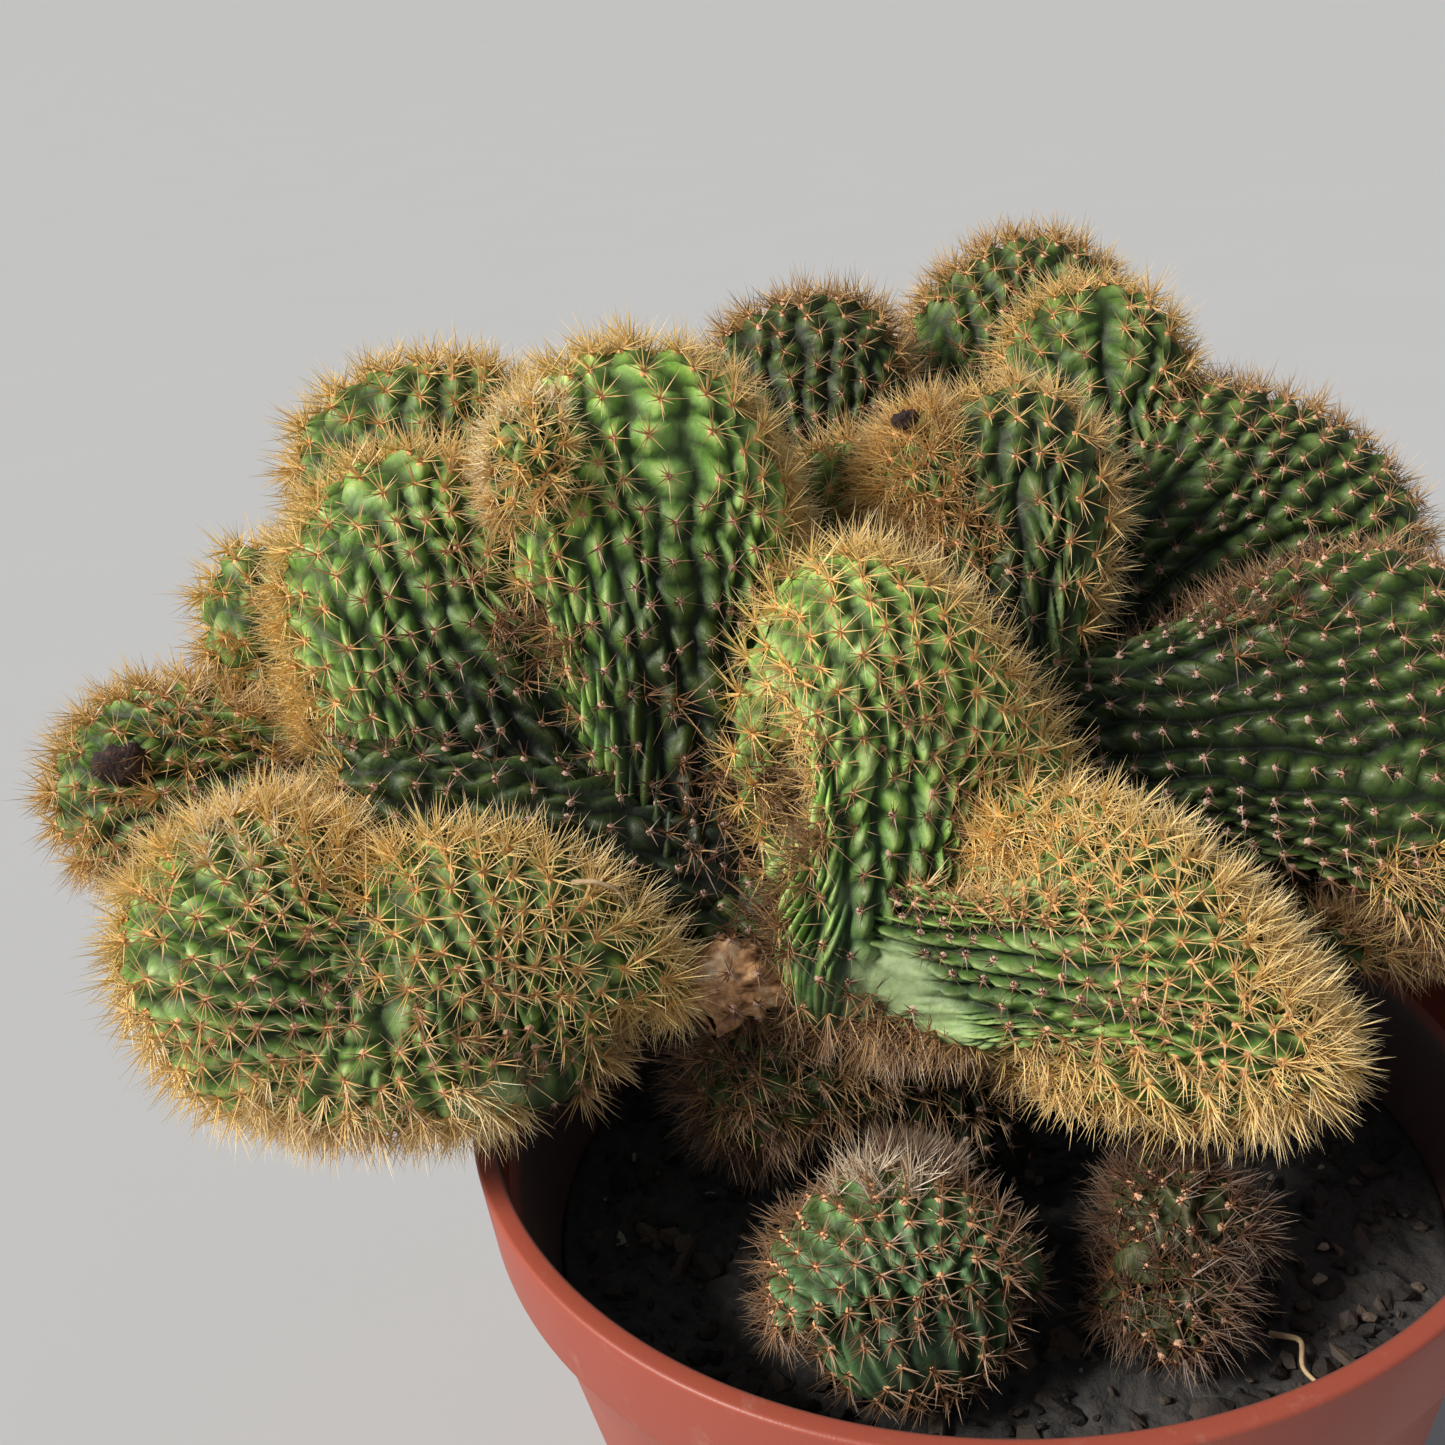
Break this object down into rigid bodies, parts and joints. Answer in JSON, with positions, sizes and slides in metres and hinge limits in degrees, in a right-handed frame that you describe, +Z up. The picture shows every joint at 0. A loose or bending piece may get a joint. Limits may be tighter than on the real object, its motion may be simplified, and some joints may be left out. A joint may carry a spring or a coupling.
{
  "type": "potted crested cactus",
  "caption": "Fan-crested cactus with folded, ribbed, spiny lobes growing from a trunk in soil, with two small offsets, in a round tapered plastic pot.",
  "frame": {"origin": "centre of the pot's flat base, on the surface it stands on", "axes": "+Z up along the pot's axis, +Y away from the viewer towards the tallest back lobes, +X to the viewer's right"},
  "size_m": [0.1712, 0.1453, 0.166],
  "materials": {
    "pot_plastic": "moulded terracotta-red plastic with a low sheen, darker inside",
    "soil": "loose, moist, nearly black potting soil with pale bits of bark and grit",
    "crested_skin": "waxy green skin with orange-tan felt spots and golden spines, densest along the crests",
    "offset_skin": "blue-green skin with white hairs at the top and brown spines",
    "old_offset_skin": "old green-brown skin under dull brown spines"
  },
  "bodies": {
    "root": {"pot": "pot_plastic", "soil": "soil", "crested_stem": "crested_skin", "front_offset": "offset_skin", "side_offset": "old_offset_skin"}
  },
  "joints": []
}
